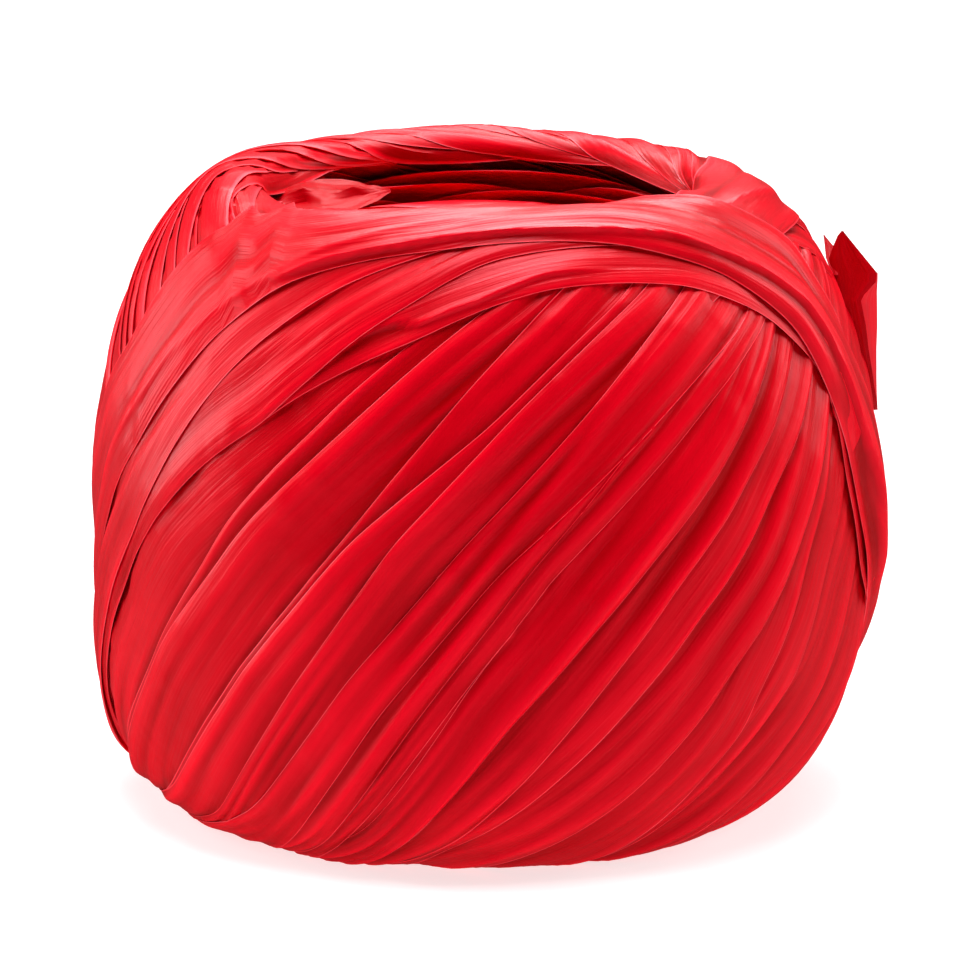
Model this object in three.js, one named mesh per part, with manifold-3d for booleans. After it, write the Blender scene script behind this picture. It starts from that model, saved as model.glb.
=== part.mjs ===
import * as THREE from 'three';
import { mergeVertices } from 'three/addons/utils/BufferGeometryUtils.js';
import Module from 'manifold-3d';

// A hollow ball of film raffia, wound on a spindle and flattened where it rests.
// Millimetres, +Z up. The wound form is described from its equator, with -Y towards the viewer.

// Wound form, measured under the relief of the turns
const EQUATOR_RADIUS = 48.2;
const CREST_RADIUS = 29.5;
const CROWN_HEIGHT = 39.0;
const FOOT_DEPTH = 40.1;
const REST_DEPTH = 39.4;
const CROWN_ROUNDNESS = 1.87;
const FOOT_ROUNDNESS = 3.3;
const FOOT_FULLER_LEFT = 1.0;

// Turns of the strip
const TURNS_AROUND = 34;
const TURN_TILT = THREE.MathUtils.degToRad(50);
const TURN_RELIEF = 1.35;
const RIM_RELIEF = 0.35;
const TURN_WANDER = 0.16;
const TURN_ROWS = 20;
// Each turn is lifted along its left edge and runs down to the next one
const TURN_SECTION = [
  { across: 0.0, lift: 1.0 },
  { across: 0.5, lift: 0.5 },
  { across: 0.86, lift: 0.0 },
];

// Rings that carry the turns over the crest of each rim and down inside
const RIM_RINGS = [
  { radius: CREST_RADIUS, below: -0.1 },
  { radius: CREST_RADIUS - 2.6, below: 0.7 },
  { radius: CREST_RADIUS - 1.0, below: 6.0 },
];

// Mouth of the hole, stepped where older layers of turns end
const MOUTH = [
  { radius: 27.6, below: 1.3 },
  { radius: 25.2, below: 2.0 },
  { radius: 23.9, below: 4.3 },
  { radius: 21.9, below: 5.3 },
  { radius: 20.3, below: 9.2 },
  { radius: 18.3, below: 10.6 },
  { radius: 16.4, below: 15.5 },
  { radius: 14.0, below: 20.5 },
  { radius: 12.2, below: 26.0 },
  { radius: 11.5, below: 31.0 },
];
// Packed middle of the ball, hidden under the turns
const MIDDLE = [
  { radius: 33.0, height: CROWN_HEIGHT - 3.2 },
  { radius: 41.5, height: 24.0 },
  { radius: 44.0, height: 5.0 },
  { radius: 44.0, height: -12.0 },
  { radius: 41.5, height: -27.0 },
  { radius: 33.0, height: 3.2 - FOOT_DEPTH },
];
const MIDDLE_SEGMENTS = 48;

// Last turns, wide strips that cross the near rim: how far they are turned about the axis,
// how far they hang forward of the ball's middle, and their half width
const BELTS = [
  { turned: 0, forward: 5.2, half: 9.0, lift: 1.0 },
  { turned: 12, forward: 9.5, half: 6.0, lift: 0.75 },
];
// Folds across a belt, from its lower edge to its upper edge
const BELT_FOLDS = [
  { across: -1.0, lift: 1.0 },
  { across: -0.93, lift: 2.2 },
  { across: -0.72, lift: 1.9 },
  { across: -0.35, lift: 1.55 },
  { across: 0.2, lift: 1.9 },
  { across: 0.62, lift: 1.5 },
  { across: 0.95, lift: 1.9 },
  { across: 1.0, lift: 0.9 },
];
const BELT_ROOT = -3.5;
const BELT_STEPS = 64;
// The turned and overlapping halves of the winding share this much of the ball
const HALF_OVERLAP = 0.1;
const CUTTER = 260;

// Loose ends: a folded sheet, a row for each station from its root to its tip
const SHEET = 1.1;
const CREASES = [
  { across: -1.0, lift: 0.3 },
  { across: -0.45, lift: -0.35 },
  { across: 0.1, lift: 0.45 },
  { across: 0.6, lift: -0.3 },
  { across: 1.0, lift: 0.2 },
];
// Outer end, up the right side: how far it stands off the turns there
const OUTER_END = [
  { height: 10.0, standoff: 2.3, sideways: 5.4, half: 4.6, turn: 0 },
  { height: 15.0, standoff: 2.5, sideways: 4.6, half: 5.2, turn: 6 },
  { height: 19.5, standoff: 3.5, sideways: 3.2, half: 5.4, turn: 16 },
  { height: 23.0, standoff: 4.3, sideways: 1.8, half: 4.9, turn: 27 },
  { height: 26.0, standoff: 4.9, sideways: 0.6, half: 4.1, turn: 38 },
  { height: 29.0, standoff: 4.8, sideways: -0.6, half: 2.5, turn: 46 },
  { height: 31.8, standoff: 4.4, sideways: -1.4, half: 0.7, turn: 50 },
];
// Inner end, from the left of the mouth towards the middle of the hole
const INNER_END = [
  { radius: 24.6, below: 0.6, sideways: 1.0, half: 4.4, turn: 2 },
  { radius: 21.8, below: 1.2, sideways: 1.4, half: 5.4, turn: 10 },
  { radius: 18.6, below: 1.9, sideways: 1.8, half: 5.0, turn: 26 },
  { radius: 15.4, below: 2.8, sideways: 2.4, half: 3.6, turn: 38 },
  { radius: 12.4, below: 3.4, sideways: 3.2, half: 0.9, turn: 44 },
];

const wasm = await Module();
wasm.setup();

// Joins rings of points into one closed skin. A hoop's last ring meets its first, turned by a
// number of points; anything else is closed by a flat face at each end.
function skin(rings, { hoop = true, turned = 0 } = {}) {
  const count = rings[0].length;
  const faces = [];
  const bands = hoop ? rings.length : rings.length - 1;
  for (let i = 0; i < bands; i++) {
    const last = i === rings.length - 1;
    const next = last ? 0 : i + 1;
    for (let j = 0; j < count; j++) {
      const here = i * count + j;
      const beside = i * count + ((j + 1) % count);
      const above = next * count + ((j + (last ? turned : 0)) % count);
      const across = next * count + ((j + 1 + (last ? turned : 0)) % count);
      faces.push(here, beside, across, here, across, above);
    }
  }
  if (!hoop) {
    const end = (rings.length - 1) * count;
    for (let j = 1; j < count - 1; j++) {
      faces.push(0, j + 1, j, end, end + j, end + j + 1);
    }
  }
  const geometry = new THREE.BufferGeometry();
  const points = rings.flat().flatMap((point) => point.toArray());
  geometry.setAttribute('position', new THREE.Float32BufferAttribute(points, 3));
  geometry.setIndex(faces);
  return geometry;
}

function solidOf(geometry) {
  geometry.deleteAttribute('normal');
  geometry.deleteAttribute('uv');
  const merged = mergeVertices(geometry, 1e-4);
  const vertProperties = new Float32Array(merged.attributes.position.array);
  const triVerts = new Uint32Array(merged.index.array);
  return new wasm.Manifold(new wasm.Mesh({ numProp: 3, vertProperties, triVerts }));
}

function geometryOf(solid) {
  const mesh = solid.getMesh();
  const geometry = new THREE.BufferGeometry();
  geometry.setAttribute('position', new THREE.Float32BufferAttribute(mesh.vertProperties, 3));
  geometry.setIndex(Array.from(mesh.triVerts));
  geometry.computeVertexNormals();
  return geometry;
}

// Distance from the ball's middle to the wound form, in a direction of given height angle and
// azimuth. The foot is fuller on the left. Past each crest the form stays level.
function formDistance(lift, azimuth) {
  const upper = lift > 0;
  const height = upper ? CROWN_HEIGHT : FOOT_DEPTH;
  const fuller = FOOT_FULLER_LEFT * Math.cos(azimuth);
  const power = upper ? CROWN_ROUNDNESS : FOOT_ROUNDNESS - fuller;
  let near = 0;
  let far = 2 * EQUATOR_RADIUS;
  for (let i = 0; i < 40; i++) {
    const trial = (near + far) / 2;
    const out = Math.max(0, trial * Math.cos(lift) - CREST_RADIUS) / (EQUATOR_RADIUS - CREST_RADIUS);
    const up = trial * Math.abs(Math.sin(lift)) / height;
    if (out ** power + up ** power < 1) {
      near = trial;
    } else {
      far = trial;
    }
  }
  return near;
}

function onRing(radius, height, azimuth) {
  return new THREE.Vector3(radius * Math.cos(azimuth), radius * Math.sin(azimuth), height);
}

// Points along a turn's edges: where each one crosses the equator, and how far it is lifted.
function turnEdges() {
  const edges = [];
  const start = (turn) => turn + TURN_WANDER * Math.sin(2.4 * (turn % TURNS_AROUND));
  for (let turn = 0; turn < TURNS_AROUND; turn++) {
    const width = start(turn + 1) - start(turn);
    const height = 0.8 + 0.25 * Math.sin(1.7 * turn);
    for (const { across, lift } of TURN_SECTION) {
      const azimuth = (start(turn) + across * width) * 2 * Math.PI / TURNS_AROUND;
      edges.push({ azimuth, lift: lift * height * TURN_RELIEF });
    }
  }
  return edges;
}

// The ball covered by turns that all slant one way, 1 for "/" and -1 for "\", as seen from outside.
function windingOf(slant) {
  const edges = turnEdges();
  const rings = [];
  for (let row = 0; row <= TURN_ROWS; row++) {
    const along = Math.PI * (row / TURN_ROWS - 0.5);
    const lift = Math.asin(Math.sin(TURN_TILT) * Math.sin(along));
    const drift = slant * Math.atan2(Math.cos(TURN_TILT) * Math.sin(along), Math.cos(along));
    const relief = RIM_RELIEF + (1 - RIM_RELIEF) * Math.sqrt(Math.max(0, Math.cos(along)));
    rings.push(edges.map((edge) => {
      const azimuth = edge.azimuth + drift;
      const distance = formDistance(lift, azimuth) + edge.lift * relief;
      return onRing(distance * Math.cos(lift), distance * Math.sin(lift), azimuth);
    }));
  }
  const overRim = (side) => RIM_RINGS.map(({ radius, below }) => edges.map((edge) => {
    const depth = (side > 0 ? CROWN_HEIGHT : FOOT_DEPTH) - below;
    const raised = edge.lift * RIM_RELIEF;
    return onRing(radius, side * (depth + raised), edge.azimuth + slant * side * Math.PI / 2);
  }));
  rings.push(...overRim(1));
  rings.unshift(...overRim(-1).reverse());
  return solidOf(skin(rings, { turned: slant * edges.length / 2 + (slant < 0 ? edges.length : 0) }));
}

// The packed middle with the hole along its axis.
function packedMiddle() {
  const upper = MOUTH.map(({ radius, below }) => new THREE.Vector2(radius, CROWN_HEIGHT - below));
  const lower = MOUTH.map(({ radius, below }) => new THREE.Vector2(radius, below - FOOT_DEPTH));
  const middle = MIDDLE.map(({ radius, height }) => new THREE.Vector2(radius, height)).reverse();
  const profile = [...lower.reverse(), ...middle, ...upper];
  profile.push(profile[0]);
  const turned = new THREE.LatheGeometry(profile, MIDDLE_SEGMENTS);
  turned.rotateX(Math.PI / 2);
  return solidOf(turned);
}

// A wide turn laid over the others all the way round.
function beltOf({ turned, forward, half, lift }) {
  const swing = THREE.MathUtils.degToRad(turned) + Math.PI / 2;
  const level = new THREE.Vector3(Math.cos(swing + Math.PI / 2), Math.sin(swing + Math.PI / 2), 0);
  const normal = new THREE.Vector3(
    Math.sin(TURN_TILT) * Math.cos(swing), Math.sin(TURN_TILT) * Math.sin(swing), Math.cos(TURN_TILT));
  const highest = new THREE.Vector3().crossVectors(normal, level);
  const section = BELT_FOLDS.map((fold) => ({ across: fold.across, lift: fold.lift * lift }));
  section.push({ across: 0.98, lift: BELT_ROOT });
  section.push({ across: -0.98, lift: BELT_ROOT });
  const rings = [];
  for (let step = 0; step < BELT_STEPS; step++) {
    const along = 2 * Math.PI * step / BELT_STEPS;
    const hang = forward * THREE.MathUtils.smoothstep(Math.sin(along), -1, -0.3);
    rings.push(section.map((point) => {
      const off = (half * point.across - hang) / EQUATOR_RADIUS;
      const aim = new THREE.Vector3()
        .addScaledVector(normal, Math.sin(off))
        .addScaledVector(level, Math.cos(off) * Math.cos(along))
        .addScaledVector(highest, Math.cos(off) * Math.sin(along));
      const distance = formDistance(Math.asin(aim.z), Math.atan2(aim.y, aim.x));
      return aim.multiplyScalar(distance + point.lift);
    }).reverse());
  }
  return solidOf(skin(rings));
}

// A block on one side of the last turn's plane, 1 for above and behind it, -1 for below and before it.
function sideOfLastTurn(side) {
  const block = new THREE.BoxGeometry(CUTTER, CUTTER, CUTTER);
  block.translate(0, 0, side * (CUTTER - HALF_OVERLAP) / 2);
  block.rotateX(-TURN_TILT);
  return solidOf(block);
}

function floorBlock() {
  const block = new THREE.BoxGeometry(CUTTER, CUTTER, CUTTER);
  block.translate(0, 0, -REST_DEPTH - CUTTER / 2);
  return solidOf(block);
}

function woundBall() {
  let ball = packedMiddle();
  ball = ball.add(windingOf(1).intersect(sideOfLastTurn(-1)));
  ball = ball.add(windingOf(-1).intersect(sideOfLastTurn(1)));
  for (const belt of BELTS) {
    ball = ball.add(beltOf(belt));
  }
  return geometryOf(ball.subtract(floorBlock()));
}

// A creased sheet through stations that each give a middle, a direction across and a half width.
function creasedSheet(stations) {
  const rings = stations.map(({ middle, across, out, half }) => {
    const place = (crease, side) => middle.clone()
      .addScaledVector(across, half * crease.across)
      .addScaledVector(out, crease.lift + side * SHEET / 2);
    const front = CREASES.map((crease) => place(crease, 1)).reverse();
    const back = CREASES.map((crease) => place(crease, -1));
    return [...front, ...back];
  });
  return geometryOf(solidOf(skin(rings, { hoop: false })));
}

function outerEnd() {
  return creasedSheet(OUTER_END.map(({ height, standoff, sideways, half, turn }) => {
    const angle = THREE.MathUtils.degToRad(turn);
    const lift = Math.atan2(height, EQUATOR_RADIUS);
    const radius = formDistance(lift, 0) * Math.cos(lift) + standoff;
    return {
      middle: new THREE.Vector3(radius, sideways, height),
      across: new THREE.Vector3(-Math.sin(angle), -Math.cos(angle), 0),
      out: new THREE.Vector3(Math.cos(angle), -Math.sin(angle), 0),
      half,
    };
  }));
}

function innerEnd() {
  return creasedSheet(INNER_END.map(({ radius, below, sideways, half, turn }) => {
    const angle = THREE.MathUtils.degToRad(turn);
    return {
      middle: new THREE.Vector3(-radius, sideways, CROWN_HEIGHT - below),
      across: new THREE.Vector3(0, Math.cos(angle), Math.sin(angle)),
      out: new THREE.Vector3(0, -Math.sin(angle), Math.cos(angle)),
      half,
    };
  }));
}

const film = new THREE.MeshStandardMaterial({ color: 0xd3061c, roughness: 0.34, metalness: 0 });
const filmEnd = new THREE.MeshStandardMaterial({ color: 0xc20a1e, roughness: 0.38, metalness: 0 });

function named(name, geometry, material) {
  const mesh = new THREE.Mesh(geometry, material);
  mesh.name = name;
  return mesh;
}

const raffia = new THREE.Group();
raffia.add(named('ball', woundBall(), film));
raffia.add(named('outer_end', outerEnd(), filmEnd));
raffia.add(named('inner_end', innerEnd(), filmEnd));

// Stands on its base, centred over the origin
const reach = new THREE.Box3().setFromObject(raffia);
const middle = reach.getCenter(new THREE.Vector3());
raffia.position.set(-middle.x, -middle.y, -reach.min.z);

export default raffia;
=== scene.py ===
"""A hollow ball of red film raffia: the turns of the strip, its two loose ends, and a plain stage."""
import functools
import math

import bpy
import numpy as np
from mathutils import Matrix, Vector


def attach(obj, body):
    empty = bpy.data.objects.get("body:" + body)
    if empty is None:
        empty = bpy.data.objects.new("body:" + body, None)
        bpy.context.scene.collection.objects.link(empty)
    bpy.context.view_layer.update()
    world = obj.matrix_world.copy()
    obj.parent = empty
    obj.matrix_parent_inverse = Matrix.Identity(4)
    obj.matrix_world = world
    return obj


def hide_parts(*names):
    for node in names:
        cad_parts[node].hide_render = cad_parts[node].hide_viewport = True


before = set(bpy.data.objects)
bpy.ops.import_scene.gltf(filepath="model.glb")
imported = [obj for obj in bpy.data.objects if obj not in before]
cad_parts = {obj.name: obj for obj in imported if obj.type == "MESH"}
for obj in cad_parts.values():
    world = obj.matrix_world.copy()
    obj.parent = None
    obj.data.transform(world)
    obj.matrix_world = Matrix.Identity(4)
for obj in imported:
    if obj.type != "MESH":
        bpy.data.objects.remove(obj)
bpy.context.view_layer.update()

bl_info = {
    "name": "Raffia ball",
    "version": (1, 0, 0),
    "blender": (4, 5, 0),
    "location": "3D View > Sidebar > Raffia",
    "description": "Winds a hollow ball of film raffia around its packed frame",
    "category": "Object",
}

MM = 0.001


def table(columns, *rows):
    """The rows of a table, each value under its column's name."""
    return [dict(zip(columns.split(), row)) for row in rows]


# Where the ball stands in the frame, in millimetres
AXIS_X = -0.94
AXIS_Y = -0.11
EQUATOR_HEIGHT = 39.4
FLOOR_GAP = 0.05

# Wound form under the outer turns: sizes in millimetres, and how square its upper and lower parts are
EQUATOR_RADIUS = 47.4
CREST_RADIUS = 29.3
CROWN_HEIGHT = 37.8
FOOT_DEPTH = 38.0
CROWN_ROUNDNESS = 1.9
FOOT_ROUNDNESS = 3.3
FOOT_FULLER_LEFT = 1.0
FORM_HALVINGS = 30

# Where the crown dips and rises: azimuth and half width in degrees, and height in millimetres
CROWN_UNEVENNESS = (
    {"azimuth": 212.0, "reach": 22.0, "height": -2.4},
    {"azimuth": 288.0, "reach": 35.0, "height": 0.7},
    {"azimuth": 15.0, "reach": 35.0, "height": -1.6},
)

# Lip that the strip makes over each rim, into the mouth, with lengths in millimetres
LIP_START = math.radians(51.5)
LIP_RADIUS = 3.6
LIP_STEEPEST = math.radians(68)
LIP_BLEND = 3.0

# How the strip is wound: the pile's grid and its settling in degrees, film and pile in millimetres
TURN_TILT = math.radians(50)
GRID_STEP = 0.5
GRID_REACH = 66.0
FILM = 0.12
PILE_THICKNESS = 1.6
SETTLING_SPREAD_DOWN = 4.5
SETTLING_SPREAD_AROUND = 9.0
STEPS_ALONG = 288
STEPS_ACROSS = 38
LEAST_HALF_WIDTH = 1.2

# How a turn lies on the pile: gaps in millimetres, and the steps over which it bridges the hollows
TAUT_GAP = 0.1
HIDDEN_DEPTH = 0.9
BRIDGED_STEPS = 4
BRIDGE_SMOOTHING = 12
CLOSE_EDGE_FROM = 0.6

# Painted shade in the folds of the finished pile, a deeper red: what lies under the mean over this many
# degrees
FOLD_SPREAD_DOWN = 0.9
FOLD_SPREAD_AROUND = 1.2
FOLD_SHADE_CONTRAST = 1.8

# A turn's underside: four places across it, and how deep each lies as a share of its thickness
UNDERSIDE_ACROSS = np.array([0.97, 0.5, -0.5, -0.97])
UNDERSIDE_DEPTH = np.array([0.35, 1.0, 1.0, 0.35])

# Front turns that overlap towards the left: the equator azimuth of the free left edge, in degrees,
# at five places down the front, and the width in millimetres at the top, middle and bottom
PLACES = (50.0, 25.0, 0.0, -25.0, -50.0)
LEFT_TURNS = table(
    "edge width lip pleats",
    ((220, 219, 213.5, 214, 220), (11, 12, 12)),
    ((229, 229, 228, 229.5, 232), (9, 10, 11)),
    ((234, 233.8, 231.5, 230.5, 233), (9, 10, 12.5)),
    ((242, 245.5, 247, 247, 250), (9, 9, 10)),
    ((255, 253.3, 248.3, 248, 251), (10, 9.5, 9.5)),
    ((258, 255.5, 254.5, 257.5, 264), (9, 6.5, 4)),
    ((277, 275, 272.5, 274, 279), (6, 5, 4.5)),
    ((270, 268, 268.5, 270, 275), (5.5, 5, 5)),
    ((266, 266, 264.2, 264.2, 269), (8, 5, 5), 0.1, 0.1),
)
# Front turns that overlap towards the right, by their free right edge
RIGHT_TURNS = table(
    "edge width lip pleats",
    ((372, 372, 374, 376, 378), (12, 12, 12)),
    ((356, 357, 360, 364, 368), (12, 12, 12)),
    ((342, 343, 346, 351, 356), (12, 11, 11)),
    ((331, 330, 333, 340, 344), (11, 10, 10)),
    ((320, 319, 325, 334, 342), (10, 10, 12)),
    ((316, 317, 321, 322.5, 325), (9, 10, 12)),
    ((309, 309, 309, 308.3, 308.5), (9, 9, 9)),
    ((302, 302, 300.5, 301.5, 306.5), (9, 8.5, 8.5)),
    ((294, 293.5, 292, 292, 300), (5, 5.5, 8)),
    ((295, 295.5, 293, 292.5, 299), (6.5, 8.6, 3.5)),
)
# The same turns behind, at degrees along them: their least and greatest width and drift in millimetres,
# and what share of the width is left where they are gathered at the rims
BACK_PLACES = (90, 135, 180, 225, 270)
BACK_WIDTHS = (9.5, 12.5)
BACK_DRIFTS = (3.0, 6.0)
BACK_GATHERS = (0.68, 0.9, 1, 0.9, 0.75)
SWING_TO_SIDE = 0.12
EDGE_SMOOTHING = 10

# Turns that cross the near rim, by both edges, in millimetres either side of the last turn's plane, at
# degrees along them
LEAF_TURN = table(
    "along low high",
    (-28, -20, -14),
    (0, -21, -13.5),
    (30, -20.8, -13),
    (55, -19.8, -12),
    (64, -18.2, -10.5),
    (80, -15.6, -7),
    (98, -10, -3),
    (117, -5.7, 2),
    (132, -4.2, 3),
    (144, -5.4, 1),
    (159, -12.6, -5),
    (176, -17.4, -9),
    (210, -14, -6),
    (270, -4, 3),
    (290, -5, 2),
    (305, -10, -4),
    (320, -17.5, -11.5),
)
THIRD_TURN = table(
    "along low high",
    (-25, -21, -13),
    (-4, -22, -14),
    (23, -21.6, -14),
    (55, -20, -11),
    (65, -17, -8.5),
    (80, -11.4, -5),
    (90, -6.8, -1),
    (110, -2.5, 4),
    (135, -2, 5),
    (155, -8, 0),
    (180, -15, -7),
    (225, -12, -3),
    (270, -4, 4),
    (290, -6, 2),
    (305, -11, -4),
    (320, -18.5, -11.5),
)
SECOND_TURN = table(
    "along low high",
    (-35, -19.2, -10),
    (0, -20.4, -9),
    (21, -19.8, -8),
    (31, -18, -6),
    (44, -14.4, -3),
    (58, -10.6, 0),
    (73, -7.2, 1),
    (95, -3, 4),
    (130, -2, 5),
    (155, -7, 0),
    (180, -14, -6.5),
    (225, -10, 0),
    (270, -4, 5),
    (290, -5, 4),
    (305, -9, 0),
    (320, -16.5, -8),
)
LAST_TURN = table(
    "along low high",
    (-25, -13.2, -1),
    (0, -13.2, 1),
    (28, -11.7, 1.5),
    (42, -9.2, 4.8),
    (50, -7.2, 8.8),
    (61, -5.2, 8.2),
    (67, -5.2, 4.4),
    (72, -5.2, 2.6),
    (84, -5.2, 2.6),
    (96, -4.2, 5.8),
    (108, -3, 8),
    (122, -2.4, 9),
    (137, -3.4, 9),
    (150, -8.2, 4.6),
    (165, -13.6, -3),
    (180, -17, -5.6),
    (225, -13, -2),
    (270, -5, 6),
    (300, -9, 2),
)
# Turn that stands as a straight flap across the right rim, in millimetres either side of its own plane
FLAP_SWING = math.radians(169.5)
FLAP_TURN = table(
    "along low high",
    (30, -5, 5.2),
    (60, -6, 5.2),
    (90, -7.5, 5.2),
    (120, -7, 5.2),
    (160, -5, 5.5),
    (200, -5, 6),
    (270, -4, 6),
)
FLAP_FOLDS = (
    {"along": (56, 72, 84, 96), "off": (3.0, 0.5, -1.5, -3.6), "width": 0.5, "height": 0.5, "ease": 1.0},
    {"along": (56, 70, 84, 100, 116), "off": (4.4, 3.2, 2.0, 1.2, 0.8), "width": 0.6, "height": -0.35,
     "ease": 0.9},
)
# Torn points along the last turn's upper edge: millimetres that each stands out, and half its width in
# degrees
LAST_TORN = (
    {"along": 53.8, "height": 3.4, "reach": 2.6},
    {"along": 60.0, "height": 3.0, "reach": 2.6},
)
# Folds that show on the last turns: lines in the same measures, with how high and how wide each is,
# and over how many millimetres its upper side falls away
LAST_FOLDS = (
    {"along": (58, 80, 100, 115, 130, 137, 145, 155, 165, 172, 186), "width": 0.3, "height": 0.8,
     "off": (-4.2, -4.2, -2.6, -0.5, 0.0, -0.5, -3.0, -7.0, -9.5, -12.0, -15.0), "ease": 2.5},
    {"along": (10, 35, 55, 72, 95), "off": (-9.5, -7.0, -3.6, -2.4, -0.5), "width": 0.6, "height": 0.3,
     "ease": 0.8},
    {"along": (100, 120, 140, 160), "off": (3.5, 4.0, 3.0, -4.0), "width": 1.1, "height": -0.3,
     "ease": 1.2},
)
LEAF_FOLDS = (
    {"along": (70, 77, 81, 89, 98, 108), "off": (-14.0, -13.1, -13.6, -11.6, -8.2, -6.0), "width": 0.3,
     "height": 0.6, "ease": 2.5},
)

# Under turns, laid first: width in millimetres, and the first one's swing and their spread in degrees
UNDER_TURNS = 44
UNDER_WIDTH = 7.0
UNDER_STEPS = 176
UNDER_STRANDS = 12
UNDER_FIRST = 445
UNDER_SPAN = 190

# The photograph's view: where it shows the ball's middle, and its focal length, in pixels, then its
# distance and what it is wide at the ball's middle, in millimetres
VIEW_MIDDLE_X = 486.0
VIEW_MIDDLE_Y = 477.7
VIEW_FOCAL = 4791.0
VIEW_TILT = math.radians(13)
VIEW_DISTANCE = 600.0
VIEW_WIDTH = 122.73

# How far the camera stands right of the ball's middle and below it, and its sensor, in millimetres
CAMERA_RIGHT = 0.5
CAMERA_DOWN = 1.54
SENSOR_WIDTH = 36

# Loose outer end, down its front panel, its folded-back flap and the tongue beside them: the pixel row,
# the pixel columns of its two sides, and how far each stands towards the camera from the ball's middle
OUTER_PANEL = table(
    "row left right near_left near_right",
    (231, 841.6, 843, 4.4, 4.6),
    (236, 837.6, 847, 4.3, 4.8),
    (246, 833.2, 855.2, 4.2, 5),
    (258, 829, 865, 4, 5.1),
    (272.7, 831, 877, 3.9, 5.2),
    (282, 834, 876, 3.9, 5),
    (295, 838, 864, 3.8, 4.6),
    (301, 838.5, 861, 3.8, 4.5),
    (326, 843, 866, 3.4, 4),
    (349, 852, 868.6, 2.8, 3),
    (370, 861, 872, 2, 2),
    (390, 868, 875, 1, 0.8),
    (410, 873, 878, 0, -0.4),
)
OUTER_FLAP = table(
    "row left right near_left near_right",
    (272.7, 876.4, 877.2, 5, 1),
    (282, 874.6, 877.2, 4.8, 0),
    (292, 865, 877.2, 4.5, -2),
    (301, 861, 877.2, 4.3, -3),
    (326, 864, 877.4, 3.6, -4),
    (349, 867.6, 876.6, 2.6, -4),
    (370, 871, 876.8, 1.6, -3.6),
    (390, 874, 877, 0.4, -3),
    (408, 876, 877.4, -1, -2.2),
)
OUTER_TONGUE = table(
    "row left right near_left near_right",
    (234.4, 823.2, 824.2, 2, 2),
    (240, 824, 828.6, 2.4, 2),
    (246.5, 824.6, 834, 2.8, 2.2),
    (258, 826, 834, 3.6, 3),
    (275, 832, 838, 4.8, 4.2),
)
# Painted light of the outer end: painted shade on the panel and the tongue, a painted highlight on the flap
OUTER_PAINTED_LIGHT = (0.25, 0.8, 0.3)
OUTER_CRUMPLING = 0.05

# Loose inner end, a row for each place from the mouth's rim to its tip. Each of its four lines is given
# by a pixel column, a pixel row and how far it stands towards the camera from the ball's middle
INNER_END = table(
    "far_edge ridge fold near_edge",
    ((270, 192, -3), (271, 199, -0.5), (274, 204, 2), (277, 211, 5)),
    ((282, 185, -3.4), (284, 194, -0.2), (288, 204, 1.2), (290, 215, 5.6)),
    ((300, 179.5, -3.6), (303, 188, 0.6), (305, 201, 0.6), (306, 217, 6)),
    ((320, 177, -3.8), (321, 191, -0.4), (322, 200, 2.6), (325, 216, 6)),
    ((342, 177.5, -3.6), (336, 193, 1), (342, 199, 1.4), (346, 215, 5.4)),
    ((361, 180, -3.2), (352, 186, 0.6), (361, 196, 0.4), (362, 208, 4)),
    ((377, 183.5, -2.6), (372, 187, 0), (377, 192, 0.6), (377, 200, 2.4)),
    ((390, 188.2, -0.6), (390.4, 188.8, -0.2), (390.6, 189.4, 0.2), (390.2, 190.4, 0.6)),
)
# Painted shade on the inner end, darker than level film
INNER_PAINTED_LIGHT = (0.3,)
INNER_CRUMPLING = 0.3

# Creases in a crumpled end: how many, and their least and greatest width as shares of the grid
CRUMPLES = 14
CRUMPLE_WIDTHS = (0.04, 0.12)

# Older, smaller turns that line the two mouths: their sizes as shares of the ball's, and their width
# in millimetres
LINING_TURNS = 72
LINING_STEPS = 80
LINING_STRANDS = 9
GOLDEN_ANGLE = 2.39996
LINING_SMALLEST = 0.42
LINING_LARGEST = 0.92
LINING_WIDTH = 11.0
LINING_TILT = math.radians(45)

# Textures of the film: how each is scaled along the strip and across it, where a small scale draws it
# out, then its noise and its share of the bumps
FILM_TEXTURES = table(
    "name stretch scale detail roughness kind bump",
    ("streaks", (0.06, 1.0, 1.0), 900.0, 3.0, 0.5, "FBM", 0.2),
    ("broad", (0.15, 1.0, 1.0), 180.0, 2.0, 0.5, "FBM", 0),
    ("crinkle", (0.7, 0.35, 1.0), 420.0, 4.0, 0.5, "FBM", 0.12),
    ("fine", (0.03, 1.0, 1.0), 3200.0, 1.0, 0.5, "FBM", 0.06),
    ("creases", (0.045, 1.0, 1.0), 240.0, 1.5, 0.4, "RIDGED_MULTIFRACTAL", 0.55),
    ("wrinkles", (0.7, 0.5, 1.0), 260.0, 2.0, 0.5, "RIDGED_MULTIFRACTAL", 0.8),
    ("patches", (1.0, 1.0, 1.0), 55.0, 2.0, 0.5, "FBM", 0),
)
BUMP_STRENGTH = 0.8
BUMP_DISTANCE = 0.0012
FILM_IOR = 1.45
# Painted highlight along the turns' free edges, a pinker red
EDGE_HIGHLIGHT_COLOUR = (1.0, 0.16, 0.2, 1)
SHINE_TINT = (1.0, 0.22, 0.30, 1)

# Shine of each group of turns: what lies deeper reflects less of the studio
SHINE = 0.35
UNDER_SHINE = 0.15
SLANTING_SHINE = 0.2
INNER_END_SHINE = 0.06

# Strip coordinates, in metres: how far a turn's are moved on for each point of the turns before it, and
# a loose end's step from point to point
STRIP_SHIFT = 0.00137
SHEET_STEP = 0.0005

# Meshes: points of a loose end closer than this, in metres, are one, and folds over this angle stay sharp
WELD_DISTANCE = 0.00002
SMOOTH_ANGLE = math.radians(50)

# Painted light of the lining, which makes it lighter, and painted highlight of every turn along its edges
LINING_PAINTED_LIGHT = 0.8
EDGE_PAINTED_HIGHLIGHT = 2

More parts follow.
